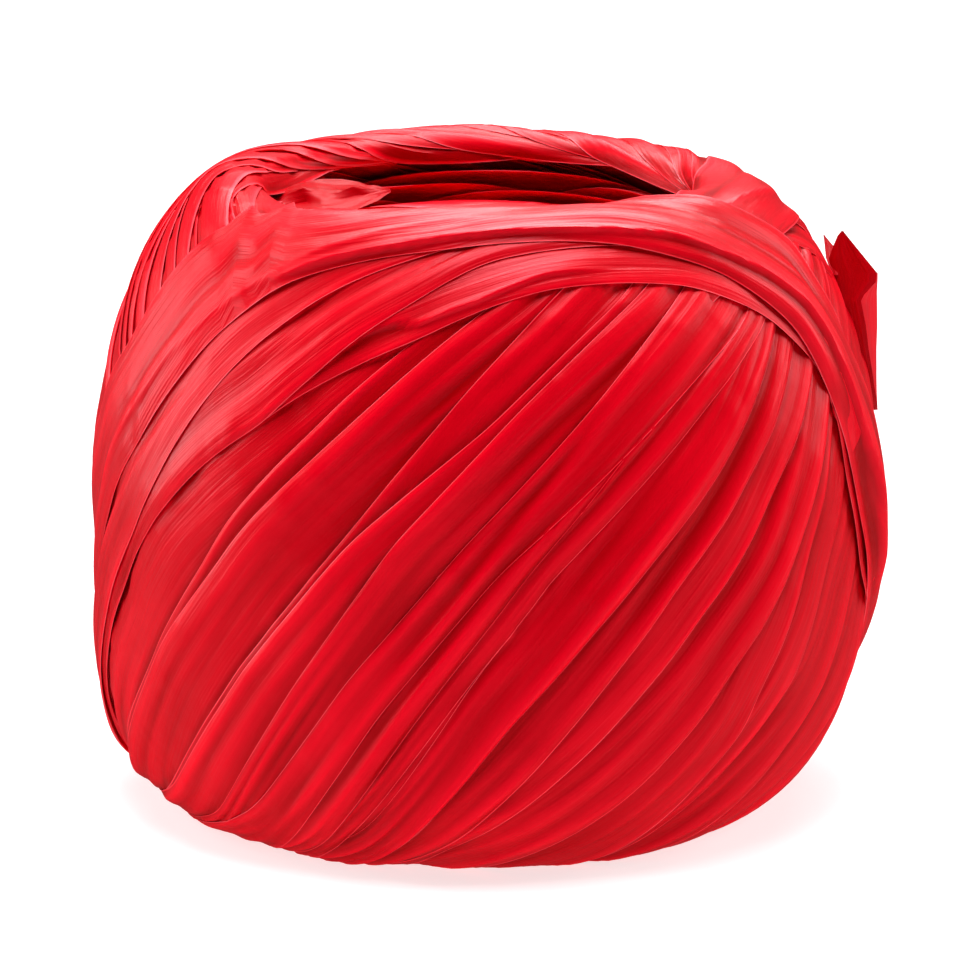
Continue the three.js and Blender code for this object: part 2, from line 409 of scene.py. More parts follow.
# Seeds of the random draws, so that every run winds the same ball
SEEDS = {
    "outer_end": 31, "inner_end": 41, "under_width": 100, "under": 200, "right": 300, "left": 340,
    "last": 400, "lining_width": 600, "lining": 700,
}

# Soft lights round the ball: places and sizes in metres. The sheen light makes highlights only
LIGHTS = table(
    "name place size watts",
    ("light_left", (-0.62, 0.16, 0.24), 0.5, 3.2),
    ("light_right", (0.62, 0.16, 0.30), 0.4, 2.2),
    ("light_key", (0.0, -0.12, 0.85), 0.4, 6.0),
    ("light_top", (0.0, 0.45, 1.10), 1.4, 12.0),
    ("light_sheen", (0.08, 0.42, 0.90), 0.8, 21.0),
)
FLOOR_SIZE = 6
FLOOR_GLOW = 0.7
WORLD_GLOW = 0.05


def along_the_turn(rows, angles):
    """Low and high edge at each angle, from a turn's rows, rounded where they join."""
    places = np.array([row["along"] for row in rows], float)
    edges = []
    for name in ("low", "high"):
        values = np.interp(angles, places, [row[name] for row in rows], period=360)
        edges.append(smooth_round(values, 6))
    return edges


def smooth_round(values, passes):
    """Values smoothed along a turn, whose end runs on into its start."""
    for _ in range(passes):
        values = (np.roll(values, 1, 0) + 2 * values + np.roll(values, -1, 0)) / 4
    return values


def smooth_across(values, passes):
    """Values smoothed across a turn, from edge to edge."""
    for _ in range(passes):
        padded = np.concatenate([values[:, :1], values, values[:, -1:]], 1)
        values = (padded[:, :-2] + 2 * padded[:, 1:-1] + padded[:, 2:]) / 4
    return values


def form_distance(lift, azimuth):
    """Distance from the ball's middle to the wound form, in millimetres."""
    upper = lift > 0
    crown = np.full_like(lift, CROWN_HEIGHT)
    for uneven in CROWN_UNEVENNESS:
        apart = (np.degrees(azimuth) - uneven["azimuth"] + 180) % 360 - 180
        crown = crown + uneven["height"] * np.exp(-(apart / uneven["reach"]) ** 2)
    height = np.where(upper, crown, FOOT_DEPTH)
    power = np.where(upper, CROWN_ROUNDNESS, FOOT_ROUNDNESS - FOOT_FULLER_LEFT * np.cos(azimuth))
    near = np.zeros_like(lift)
    far = np.full_like(lift, 2 * EQUATOR_RADIUS)
    for _ in range(FORM_HALVINGS):
        trial = (near + far) / 2
        out = np.maximum(0, trial * np.cos(lift) - CREST_RADIUS) / (EQUATOR_RADIUS - CREST_RADIUS)
        up = trial * np.abs(np.sin(lift)) / height
        inside = out ** power + up ** power < 1
        near = np.where(inside, trial, near)
        far = np.where(inside, far, trial)
    return near


def placed(aims, heights, scale=1.0, lip=1.0):
    """Points at heights over the wound form, and over the lips that turn down into its mouths."""
    lift = np.arcsin(np.clip(aims[..., 2], -1, 1))
    side = np.sign(lift)
    level = np.minimum(np.abs(lift), LIP_START)
    around = np.arctan2(aims[..., 1], aims[..., 0])
    distance = Pile.read_form(side * level, around) * scale
    run = np.maximum(0, np.abs(lift) - LIP_START) * EQUATOR_RADIUS
    bend = np.minimum(run / LIP_RADIUS, LIP_STEEPEST) * lip
    round_part = np.minimum(run, LIP_RADIUS * LIP_STEEPEST)
    straight = run - round_part
    inward = round_part * np.sinc(bend / math.pi) + straight * np.cos(bend)
    down = round_part * np.sin(bend / 2) + straight * np.sin(bend)
    turned = np.clip(run / LIP_BLEND, 0, 1)
    outward = level + (math.pi / 2 - level) * turned * turned * (3 - 2 * turned) + bend
    reach = distance * np.cos(level) - inward + heights * np.cos(outward)
    height = distance * np.sin(level) - down + heights * np.sin(outward)
    return np.stack([reach * np.cos(around), reach * np.sin(around), side * height], -1)


class Laid:
    """A turn in its place: the directions of its upper face's points and their heights."""

    def __init__(self, turn, number, aims, heights):
        self.turn, self.number, self.aims, self.heights = turn, number, aims, heights


class Pile:
    """The strip laid so far on a wound form: its height over it, by height angle and azimuth."""

    rows = int(2 * GRID_REACH / GRID_STEP) + 1
    columns = int(360 / GRID_STEP)
    lifts = np.radians(np.linspace(-GRID_REACH, GRID_REACH, rows))
    azimuths = np.radians(np.arange(columns) * GRID_STEP)
    grid_lift, grid_azimuth = np.meshgrid(lifts, azimuths, indexing="ij")
    form = form_distance(grid_lift, grid_azimuth)
    aims = np.stack([np.cos(grid_lift) * np.cos(grid_azimuth),
                     np.cos(grid_lift) * np.sin(grid_azimuth), np.sin(grid_lift)], -1)

    def __init__(self):
        self.height = np.zeros_like(self.form)
        self.owner = np.zeros(self.form.shape, int)
        self.count = 0

    @classmethod
    def read_form(cls, lift, azimuth):
        """The wound form's distance from the middle, at angles in radians."""
        return cls.read_grid(cls.form, np.degrees(lift), np.degrees(azimuth))

    def read(self, grid, aims):
        """A grid's value in each direction."""
        lift = np.degrees(np.arcsin(np.clip(aims[..., 2], -1, 1)))
        return self.read_grid(grid, lift, np.degrees(np.arctan2(aims[..., 1], aims[..., 0])))

    @classmethod
    def read_grid(cls, grid, lift, azimuth):
        """A grid's value at angles in degrees, between its four nearest cells."""
        row = np.clip((lift + GRID_REACH) / GRID_STEP, 0, cls.rows - 1.001)
        column = azimuth % 360 / GRID_STEP
        r0, c0 = row.astype(int), column.astype(int) % cls.columns
        r1, c1 = r0 + 1, (c0 + 1) % cls.columns
        fr, fc = row - r0, column - np.floor(column)
        upper = grid[r1, c0] * (1 - fc) + grid[r1, c1] * fc
        return (grid[r0, c0] * (1 - fc) + grid[r0, c1] * fc) * (1 - fr) + upper * fr

    def lay(self, turn):
        """Lays a turn over the pile, which gives way a little under it."""
        self.count += 1
        aims = turn.aims(turn.along[:, None], turn.middle[:, None] + turn.half[:, None] * turn.across)
        under = self.read(self.height, aims)
        taut = smooth_across(smooth_round(under, turn.tautness), 4) + TAUT_GAP
        settled = np.maximum(smooth_across(smooth_round(under, 2), 1), under)
        if turn.bridging:
            near = range(-BRIDGED_STEPS, BRIDGED_STEPS + 1)
            crests = np.max([np.roll(under, step, 0) for step in near], 0)
            settled = smooth_round(crests, BRIDGE_SMOOTHING)
            taut = smooth_across(settled, 4)
        close = np.clip((np.abs(turn.across) - CLOSE_EDGE_FROM) / (1 - CLOSE_EDGE_FROM), 0, 1) ** 2
        top = taut + (settled - taut) * close + FILM + turn.relief()
        hidden = turn.hidden_share()[:, None]
        top = top + (under - HIDDEN_DEPTH - top) * hidden
        angle = np.arctan2(self.aims @ turn.highest, self.aims @ turn.level) % (2 * math.pi)
        off = np.arcsin(np.clip(self.aims @ turn.normal, -1, 1)) * EQUATOR_RADIUS
        steps = len(turn.along)
        place = angle / (2 * math.pi) * steps
        i0 = place.astype(int) % steps
        i1, f = (i0 + 1) % steps, place - np.floor(place)
        middle = turn.middle[i0] * (1 - f) + turn.middle[i1] * f
        half = turn.half[i0] * (1 - f) + turn.half[i1] * f
        share = (off - middle) / half
        covered = (np.abs(share) < 1) & (hidden[i0, 0] < 0.5)
        i0, i1, f, share = i0[covered], i1[covered], f[covered], share[covered]
        j = np.interp(share, turn.across, np.arange(len(turn.across)))
        j0 = np.minimum(j.astype(int), len(turn.across) - 2)
        g = j - j0
        low = top[i0, j0] * (1 - g) + top[i0, j0 + 1] * g
        high = top[i1, j0] * (1 - g) + top[i1, j0 + 1] * g
        self.height[covered] = low * (1 - f) + high * f
        self.owner[covered] = self.count
        return Laid(turn, self.count, aims, top)

    def pressed(self, laid):
        """A turn's heights once the later ones over it have pressed it flat."""
        lift = np.degrees(np.arcsin(np.clip(laid.aims[..., 2], -1, 1)))
        row = np.clip(np.rint((lift + GRID_REACH) / GRID_STEP), 0, self.rows - 1).astype(int)
        turned = np.degrees(np.arctan2(laid.aims[..., 1], laid.aims[..., 0])) % 360
        column = np.rint(turned / GRID_STEP).astype(int) % self.columns
        covered = self.owner[row, column] > laid.number
        over = self.read(self.height, laid.aims) - laid.turn.sinking
        return np.where(covered, np.minimum(laid.heights, over), laid.heights)

    def blurred(self, spread_down, spread_around):
        """The pile's height, averaged over a spread of degrees where it is covered."""
        covered = (self.height > 0).astype(float)
        sums = []
        for grid in (self.height, covered):
            mirrored = np.concatenate([grid, grid[::-1]], 0)
            down = np.fft.fftfreq(2 * self.rows, GRID_STEP)[:, None]
            around = np.fft.fftfreq(self.columns, GRID_STEP)[None, :]
            blur = np.exp(-2 * (math.pi * spread_down * down) ** 2)
            blur = blur * np.exp(-2 * (math.pi * spread_around * around) ** 2)
            sums.append(np.fft.ifft2(np.fft.fft2(mirrored) * blur).real[:self.rows])
        return sums[0] / np.maximum(sums[1], 1e-3)

    def settling(self):
        """How far the finished pile sinks in each direction to come back to an even thickness."""
        return self.blurred(SETTLING_SPREAD_DOWN, SETTLING_SPREAD_AROUND) - PILE_THICKNESS

    def painted_light(self):
        """How far each place stands out of the folds round it, as painted light and shade: half where
        level, nought in the deepest folds, which get the darkest painted shade.
        """
        standing = self.height - self.blurred(FOLD_SPREAD_DOWN, FOLD_SPREAD_AROUND)
        return np.clip(0.5 + standing * FOLD_SHADE_CONTRAST, 0, 1)


class Turn:
    """One turn of the strip: its plane, its two edges and its creases."""

    def __init__(self, swing, low, high, seed, steps=STEPS_ALONG, strands=STEPS_ACROSS, puff=0.22,
                 crease=0.2, facets=7, pleats=0.4, gathers=9, tautness=14, lifted=0, lip=1.0, folds=(),
                 hidden=None, bridging=False, sinking=0.15, tilt=TURN_TILT):
        self.level = np.array([math.cos(swing + math.pi / 2), math.sin(swing + math.pi / 2), 0.0])
        self.normal = np.array([math.sin(tilt) * math.cos(swing),
                                math.sin(tilt) * math.sin(swing), math.cos(tilt)])
        self.highest = np.cross(self.normal, self.level)
        self.along = np.linspace(0, 2 * math.pi, steps, endpoint=False)
        even = np.linspace(-1, 1, strands)
        self.across = np.sin(even * math.pi / 2) * 0.35 + even * 0.65
        self.middle = (low + high) / 2
        self.half = np.maximum((high - low) / 2, LEAST_HALF_WIDTH)
        self.rng = np.random.default_rng(seed)
        self.puff = puff
        self.crease = crease
        self.facets = facets
        self.pleats = pleats
        self.gathers = gathers
        self.hidden = hidden
        self.bridging = bridging
        self.sinking = sinking
        self.tautness = tautness
        self.lifted = lifted
        self.lip = lip
        self.folds = folds

    def aims(self, along, off):
        """Directions from the ball's middle, for angles along the turn and millimetres across it."""
        angle = off / EQUATOR_RADIUS
        flat = np.cos(along)[..., None] * self.level + np.sin(along)[..., None] * self.highest
        return np.cos(angle)[..., None] * flat + np.sin(angle)[..., None] * self.normal

    def hidden_share(self):
        """How far each place along the turn is sunk under its neighbours, nought to one."""
        if self.hidden is None:
            return np.zeros(len(self.along))
        first, last = self.hidden
        into = (np.degrees(self.along) - first) % 360
        return np.clip(np.minimum(into, last - first - into) / 6, 0, 1)

    def folded(self, count, height, fastest, alternate):
        """Flat facets with sharp folds between them, which wander and grow along the strip."""
        rng, along = self.rng, self.along[:, None]
        even = np.linspace(-1, 1, count)
        waves = rng.integers(1, fastest, count) * along + rng.uniform(0, 6.3, count)
        sway = rng.uniform(0.1, 0.42, count) * (even[1] - even[0]) * np.sin(waves)
        sway[:, [0, -1]] = 0
        growing = rng.integers(1, fastest, count) * along + rng.uniform(0, 6.3, count)
        if alternate:
            tall = np.where(np.arange(count) % 2, 1, -1) * (0.55 + 0.45 * np.sin(growing))
        else:
            tall = rng.uniform(-0.7, 0.7, count) + 0.6 * np.sin(growing)
        rows = [np.interp(self.across, place, each) for place, each in zip(even + sway, tall)]
        return height * np.array(rows)

    def relief(self):
        """The strip's own faceted, pleated and folded surface, in millimetres."""
        share = self.across[None, :]
        steep = np.cos(self.along[:, None]) ** 2
        total = self.puff * np.sqrt(np.maximum(0, 1 - share ** 2)) * (0.5 + 0.5 * steep)
        total = total + self.lifted * share * 0.35 * steep
        total = total + self.folded(self.facets, self.crease, 4, False) * (0.4 + 0.6 * steep)
        total = total + self.folded(self.gathers, self.pleats, 6, True) * (1 - steep)
        off = self.middle[:, None] + self.half[:, None] * share
        for fold in self.folds:
            line = np.interp(np.degrees(self.along), fold["along"], fold["off"])[:, None]
            first, last = math.radians(fold["along"][0]), math.radians(fold["along"][-1])
            along = self.along[:, None]
            window = np.clip((along - first) / 0.15, 0, 1) * np.clip((last - along) / 0.15, 0, 1)
            x = (off - line) / fold["width"]
            shape = np.exp(-np.where(x > 0, x * fold["width"] / fold["ease"], x ** 2))
            total = total + fold["height"] * window * shape
        edge = np.clip((1 - np.abs(share)) / 0.1, 0, 1)
        return total * (0.25 + 0.75 * edge)


# Shader maths

class Socket:
    """A value in a shader, so that Python's own operators add the nodes."""

    def __init__(self, tree, link):
        self.tree, self.link = tree, link

    def node(self, kind, settings=None, inputs=None, output=0):
        """Adds a node with its settings, then feeds its sockets values or links."""
        made = self.tree.nodes.new(kind)
        for name, value in (settings or {}).items():
            setattr(made, name, value)
        for name, value in (inputs or {}).items():
            if isinstance(value, Socket):
                self.tree.links.new(value.link, made.inputs[name])
            else:
                made.inputs[name].default_value = value
        return Socket(self.tree, made.outputs[output])

    def maths(self, operation, other, turned=False):
        """Adds a Math node for this value and another, in that order or turned round."""
        pair = (other, self) if turned else (self, other)
        return self.node("ShaderNodeMath", {"operation": operation}, dict(enumerate(pair)))

    def __add__(self, other):
        return self.maths("ADD", other)

    def __radd__(self, other):
        return self.maths("ADD", other, True)

    def __sub__(self, other):
        return self.maths("SUBTRACT", other)

    def __rsub__(self, other):
        return self.maths("SUBTRACT", other, True)

    def __mul__(self, other):
        return self.maths("MULTIPLY", other)

    def __rmul__(self, other):
        return self.maths("MULTIPLY", other, True)


def blended(mask, first, second):
    """A colour between two, by a mask."""
    return mask.node("ShaderNodeMix", {"data_type": "RGBA"}, {0: mask, 6: first, 7: second}, output=2)


def film_textures(start):
    """The film's textures by name, each a noise over the strip's own coordinates."""
    strip = start.node("ShaderNodeUVMap", {"uv_map": "Strip"})
    textures = {}
    for row in FILM_TEXTURES:
        mapped = start.node("ShaderNodeMapping", {"vector_type": "POINT"},
                            {"Vector": strip, "Scale": row["stretch"]})
        textures[row["name"]] = start.node(
            "ShaderNodeTexNoise", {"noise_type": row["kind"]},
            {"Vector": mapped, "Scale": row["scale"], "Detail": row["detail"],
             "Roughness": row["roughness"]})
    return textures


def film_material(name, settings, shine=SHINE):
    """Glossy film raffia: streaks along the strip, fine crinkles, a deeper red painted as shade in its
    folds, and painted highlights along its edges.
    """
    material = bpy.data.materials.new(name)
    material.use_nodes = True
    tree = material.node_tree
    shader = tree.nodes["Principled BSDF"]
    start = Socket(tree, None)
    textures = film_textures(start)
    broad, patches = textures["broad"], textures["patches"]
    painted_light = start.node("ShaderNodeAttribute", {"attribute_name": "painted_light"}, output=2)
    # The film's own streaked tone, with painted shade in the folds and painted light where the film stands
    # out of them
    tone_and_shade = (broad * 0.6 + textures["streaks"] * 0.4 - 0.28) * 1.6 + (painted_light - 0.5) * 1.3 + 0.16
    colour = blended(tone_and_shade, (*settings.dark_tone_and_shade_colour, 1), (*settings.film_colour, 1))
    # Painted highlight along the free edges of the turns
    edges = (painted_light - 1.1) * (broad * 2.4 - 0.5)
    colour = blended(edges, colour, EDGE_HIGHLIGHT_COLOUR)
    tree.links.new(colour.link, shader.inputs["Base Color"])
    gloss = settings.roughness - 0.10 + broad * 0.2
    tree.links.new(gloss.link, shader.inputs["Roughness"])
    crumpled_here = patches.node(
        "ShaderNodeMapRange", {}, {"Value": patches, "From Min": 0.46, "From Max": 0.62})
    textures["wrinkles"] = textures["wrinkles"] * crumpled_here
    height = 0
    for row in FILM_TEXTURES:
        if row["bump"]:
            height = textures[row["name"]] * row["bump"] + height
    bump = start.node("ShaderNodeBump", {},
                      {"Strength": BUMP_STRENGTH, "Distance": BUMP_DISTANCE, "Height": height})
    tree.links.new(bump.link, shader.inputs["Normal"])
    shader.inputs["IOR"].default_value = FILM_IOR
    shader.inputs["Specular IOR Level"].default_value = shine
    shader.inputs["Specular Tint"].default_value = SHINE_TINT
    return material


# Meshes

def to_frame(points):
    """Ball millimetres to metres in the frame, pressed flat on the floor."""
    moved = points + np.array([AXIS_X, AXIS_Y, EQUATOR_HEIGHT])
    moved[..., 2] = np.maximum(moved[..., 2], FLOOR_GAP)
    return moved * MM


def band(turn, aims, heights, painted_light=None, scale=1.0, thickness=0.5):
    """Points, strip coordinates and painted light of a turn's closed ring of faces, upper face first.

    Painted light is nought for the painted shade in deep folds, one where the film stands out of them, and
    two for a painted highlight along its edges.
    """
    strands = heights.shape[1]
    upper = placed(aims, heights, scale, turn.lip)
    off = turn.middle[:, None] + turn.half[:, None] * UNDERSIDE_ACROSS
    beneath = turn.aims(turn.along[:, None], off)
    j = np.interp(UNDERSIDE_ACROSS, turn.across, np.arange(strands)).round().astype(int)
    lower = placed(beneath, heights[:, j] - UNDERSIDE_DEPTH * thickness, scale, turn.lip)
    points = np.concatenate([upper, lower], 1)
    v = turn.half[:, None] * np.concatenate([turn.across, UNDERSIDE_ACROSS])[None, :]
    if painted_light is None:
        painted_light = np.full(heights.shape, LINING_PAINTED_LIGHT)
    painted_light = np.concatenate([painted_light, painted_light[:, j]], 1)
    # Painted highlight along the turn's two free edges
    painted_light[:, [0, strands - 1]] = EDGE_PAINTED_HIGHLIGHT
    return to_frame(points), v * MM, painted_light


def joined_bands(name, bands, material):
    """One mesh of several turns, each a closed hoop, with the strip's own coordinates as its UV map."""
    vertices, faces, uvs, painted_light_values, first = [], [], [], [], 0
    for points, v, painted_light in bands:
        steps, ring = v.shape
        i, j = np.meshgrid(np.arange(steps), np.arange(ring), indexing="ij")
        i1, j1 = (i + 1) % steps, (j + 1) % ring
        quads = np.stack([i * ring + j, i1 * ring + j, i1 * ring + j1, i * ring + j1], -1)
        length = 2 * math.pi * EQUATOR_RADIUS * MM / steps
        across = np.stack([v[i, j], v[i1, j], v[i1, j1], v[i, j1]], -1)
        from_back = (i + steps // 2) % steps
        u = np.stack([from_back, from_back + 1, from_back + 1, from_back], -1) * length
        faces.append(quads.reshape(-1, 4) + first)
        uvs.append(np.stack([u + first * STRIP_SHIFT, across], -1).reshape(-1, 2))
        vertices.append(points.reshape(-1, 3))
        painted_light_values.append(painted_light.ravel())
        first += steps * ring
    return mesh_object(name, *map(np.concatenate, (vertices, faces, uvs, painted_light_values)), material)


def mesh_object(name, vertices, quads, uvs, painted_light, material):
    """A piece from arrays of its points, four-sided faces, strip coordinates and painted light."""
    mesh = bpy.data.meshes.new(name)
    mesh.vertices.add(len(vertices))
    mesh.vertices.foreach_set("co", vertices.astype(np.float32).ravel())
    mesh.loops.add(quads.size)
    mesh.loops.foreach_set("vertex_index", quads.astype(np.int32).ravel())
    mesh.polygons.add(len(quads))
    mesh.polygons.foreach_set("loop_start", np.arange(0, quads.size, 4, dtype=np.int32))
    mesh.update(calc_edges=True)
    layer = mesh.uv_layers.new(name="Strip")
    layer.uv.foreach_set("vector", uvs.astype(np.float32).ravel())
    mesh.attributes.new("painted_light", "FLOAT", "POINT").data.foreach_set("value", painted_light.astype(np.float32))
    mesh.materials.append(material)
    mesh.validate()
    piece = bpy.data.objects.new(name, mesh)
    bpy.context.scene.collection.objects.link(piece)
    smooth_faces(piece)
    return piece


def smooth_faces(piece):
    """Shades a piece smooth but for its sharp folds."""
    bpy.ops.object.select_all(action="DESELECT")
    piece.select_set(True)
    bpy.context.view_layer.objects.active = piece
    bpy.ops.object.shade_smooth_by_angle(angle=SMOOTH_ANGLE)
    piece.select_set(False)


def stand_for(piece, *nodes):
    """Gives a piece to the ball's one body, in place of the nodes that it dresses."""
    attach(piece, "root")
    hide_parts(*nodes)


# Loose ends

def seen_at(column, row, near):
    """The place, in ball millimetres, that the photograph shows at a pixel, this far towards the camera."""
    scale = (VIEW_DISTANCE - near) / VIEW_FOCAL
    right, up = (column - VIEW_MIDDLE_X) * scale, (VIEW_MIDDLE_Y - row) * scale
    return np.array([right, up * math.sin(VIEW_TILT) - near * math.cos(VIEW_TILT),
                     up * math.cos(VIEW_TILT) + near * math.sin(VIEW_TILT)])


def panel_of(rows, strands):
    """A panel's points from its rows, straight from one side to the other."""
    points = []
    for row in rows:
        first = seen_at(row["left"], row["row"], row["near_left"])
        last = seen_at(row["right"], row["row"], row["near_right"])
        shares = np.linspace(0, 1, strands)[:, None]
        points.append(first + (last - first) * shares)
    return np.array(points)


def finer(points, times):
    """A grid of points with more between them, straight from one to the next."""
    for _ in range(2):
        places = np.linspace(0, len(points) - 1, (len(points) - 1) * times + 1)
        before = np.minimum(places.astype(int), len(points) - 2)
        share = (places - before)[:, None, None]
        points = points[before] * (1 - share) + points[before + 1] * share
        points = points.transpose(1, 0, 2)
    return points


def crumpled(points, seed, amount):
    """A grid of points with small soft creases pushed into it."""
    rng = np.random.default_rng(seed)
    rows, columns = points.shape[:2]
    i, j = np.meshgrid(np.linspace(0, 1, rows), np.linspace(0, 1, columns), indexing="ij")
    push = np.zeros((rows, columns))
    for _ in range(CRUMPLES):
        turn = rng.uniform(0, math.pi)
        place = (i - rng.uniform(0, 1)) * math.cos(turn) + (j - rng.uniform(0, 1)) * math.sin(turn)
        push += rng.uniform(-1, 1) * np.exp(-np.abs(place) / rng.uniform(*CRUMPLE_WIDTHS))
    side = np.cross(np.gradient(points, axis=0), np.gradient(points, axis=1))
    side /= np.maximum(np.linalg.norm(side, axis=2, keepdims=True), 1e-9)
    return points + side * (push * amount)[..., None]


def sheet_piece(name, grids, painted_light, material):
    """One sheet of several grids of points, each with the painted light and shade given for it, welded
    where they meet.
    """
    vertices, faces, uvs, painted_light_values, first = [], [], [], [], 0
    for grid, each in zip(grids, painted_light):
        rows, columns = grid.shape[:2]
        i, j = np.meshgrid(np.arange(rows - 1), np.arange(columns - 1), indexing="ij")
        corners = ((i, j), (i + 1, j), (i + 1, j + 1), (i, j + 1))
        faces.append(np.stack([a * columns + b for a, b in corners], -1).reshape(-1, 4) + first)
        steps = np.stack([np.stack([a, b], -1) for a, b in corners], -2)
        uvs.append(steps.reshape(-1, 2) * SHEET_STEP)
        vertices.append(to_frame(grid).reshape(-1, 3))
        painted_light_values.append(np.full(rows * columns, each))
        first += rows * columns
    piece = mesh_object(name, *map(np.concatenate, (vertices, faces, uvs, painted_light_values)), material)
    bpy.context.view_layer.objects.active = piece
    piece.select_set(True)
    bpy.ops.object.mode_set(mode="EDIT")
    bpy.ops.mesh.select_all(action="SELECT")
    bpy.ops.mesh.remove_doubles(threshold=WELD_DISTANCE)
    bpy.ops.object.mode_set(mode="OBJECT")
    piece.select_set(False)
    return piece


# The winding

def slanting_turn(row, side, seed):
    """A front turn from its free edge: side 1 runs on to the right of it, -1 to the left."""
    swing = math.radians(row["edge"][2]) - math.pi / 2 + side * SWING_TO_SIDE
    angles = np.arange(STEPS_ALONG) * 360 / STEPS_ALONG
    drift = np.array(row["edge"]) - math.degrees(swing + math.pi / 2)
    shift = -np.radians(drift) * np.cos(np.radians(PLACES)) * math.sin(TURN_TILT) * EQUATOR_RADIUS
    rng = np.random.default_rng(seed)
    edge = np.concatenate([shift, side * rng.uniform(*BACK_DRIFTS, len(BACK_PLACES))])
    gathered = rng.uniform(*BACK_WIDTHS, len(BACK_PLACES)) * BACK_GATHERS
    width = np.concatenate([np.interp(PLACES, (-50, 0, 50), row["width"][::-1]), gathered])
    places = np.concatenate([PLACES, BACK_PLACES])
    free = smooth_round(np.interp(angles, places, edge, period=360), EDGE_SMOOTHING)
    wide = smooth_round(np.interp(angles, places, width, period=360), EDGE_SMOOTHING)
    low, high = (free - wide, free) if side > 0 else (free, free + wide)
    return Turn(swing, low, high, seed, lifted=side, lip=row.get("lip", 1.0), pleats=row.get("pleats", 0.4))


def edged_turn(rows, seed, swing=math.pi / 2, torn=(), **how):
    """A turn from the rows of its two edges, torn into points where it says."""
    angles = np.arange(STEPS_ALONG) * 360 / STEPS_ALONG
    low, high = along_the_turn(rows, angles)
    for point in torn:
        apart = np.abs(angles - point["along"])
        high = high + point["height"] * np.clip(1 - apart / point["reach"], 0, 1)
    return Turn(swing, low, high, seed, **how)


def under_turn(number):
    """One of the first turns, which show between the outer ones and round the rims."""
    swing = math.radians(UNDER_FIRST - number * UNDER_SPAN / UNDER_TURNS)
    rng = np.random.default_rng(SEEDS["under_width"] + number)
    angles = np.arange(UNDER_STEPS) / UNDER_STEPS * 2 * math.pi
    sway = rng.uniform(0.5, 2.0) * np.sin(2 * angles + rng.uniform(0, 6.3))
    half = UNDER_WIDTH / 2 * rng.uniform(0.75, 1.3) * (1 + 0.2 * np.sin(3 * angles + rng.uniform(0, 6.3)))
    return Turn(swing, sway - half, sway + half, SEEDS["under"] + number, steps=UNDER_STEPS,
                strands=UNDER_STRANDS, puff=0.3, crease=0.3, pleats=0.3, facets=4, gathers=5,
                tautness=8, sinking=0.5)


@functools.cache
def winding():
    """Every outer turn laid in its order, as bands of points by group, settled to the ball's size."""
    seed = SEEDS["last"]
    groups = {
        "under": [under_turn(number) for number in range(UNDER_TURNS)],
        "right": [slanting_turn(row, -1, SEEDS["right"] + i) for i, row in enumerate(RIGHT_TURNS)],
        "left": [slanting_turn(row, 1, SEEDS["left"] + i) for i, row in enumerate(LEFT_TURNS)],
        "last": [
            edged_turn(FLAP_TURN, seed, FLAP_SWING, puff=0.2, crease=0.12, pleats=0.05, lip=0.0,
                       hidden=(235, 420), bridging=True, folds=FLAP_FOLDS),
            edged_turn(LEAF_TURN, seed + 1, pleats=0.05, crease=0.2, hidden=(225, 322), bridging=True,
                       folds=LEAF_FOLDS),
            edged_turn(THIRD_TURN, seed + 2, pleats=0.08, crease=0.25, hidden=(225, 322), bridging=True),
            edged_turn(SECOND_TURN, seed + 3, pleats=0.08, crease=0.25, hidden=(225, 322), bridging=True),
            edged_turn(LAST_TURN, seed + 4, torn=LAST_TORN, puff=0.3, strands=46, crease=0.14, pleats=0.06,
                       lip=0.15, hidden=(235, 322), bridging=True, folds=LAST_FOLDS),
        ],
    }
    pile = Pile()
    laid = {name: [pile.lay(turn) for turn in turns] for name, turns in groups.items()}
    sinking, painted_light = pile.settling(), pile.painted_light()
    bands = {}
    for name, group in laid.items():
        bands[name] = []
        for each in group:
            heights = pile.pressed(each) - pile.read(sinking, each.aims)
            bands[name].append(band(each.turn, each.aims, heights, pile.read(painted_light, each.aims)))
    return bands


class RaffiaFilmSettings(bpy.types.PropertyGroup):
    film_colour: bpy.props.FloatVectorProperty(
        name="Film colour", description="Colour of the film where it lies open", subtype="COLOR",
        default=(0.88, 0.0, 0.012), min=0, max=1)
    # Darker end of the film's colour: its own streaked tone, and the painted shade in its folds
    dark_tone_and_shade_colour: bpy.props.FloatVectorProperty(
        name="Fold colour", description="Deeper colour where the film lies double", subtype="COLOR",
        default=(0.4, 0.0, 0.002), min=0, max=1)
    roughness: bpy.props.FloatProperty(
        name="Roughness", description="How soft the film's shine is", default=0.36, min=0.05, max=1)


class RaffiaStageSettings(bpy.types.PropertyGroup):
    distance: bpy.props.FloatProperty(
        name="Camera distance", description="From the camera to the ball's middle",
        default=VIEW_DISTANCE * MM, unit="LENGTH")
    elevation: bpy.props.FloatProperty(
        name="Camera elevation", description="Height angle of the view", default=VIEW_TILT,
        subtype="ANGLE")
    floor_colour: bpy.props.FloatVectorProperty(
        name="Floor colour", description="Colour of the plain floor", subtype="COLOR",
        default=(0.55, 0.55, 0.55), min=0, max=1)


class RAFFIA_OT_under_turns(bpy.types.Operator):
    """Adds the first turns, which show between the outer ones and round the rims"""
    bl_idname = "raffia.under_turns"
    bl_label = "Under turns"

    def execute(self, context):
        film = film_material("raffia_film_under", context.scene.raffia_film, UNDER_SHINE)
        bands = winding()["under"]
        middle = len(bands) // 2
        stand_for(joined_bands("turns_under_first", bands[:middle], film), "ball")
        stand_for(joined_bands("turns_under_second", bands[middle:], film), "ball")
        return {"FINISHED"}


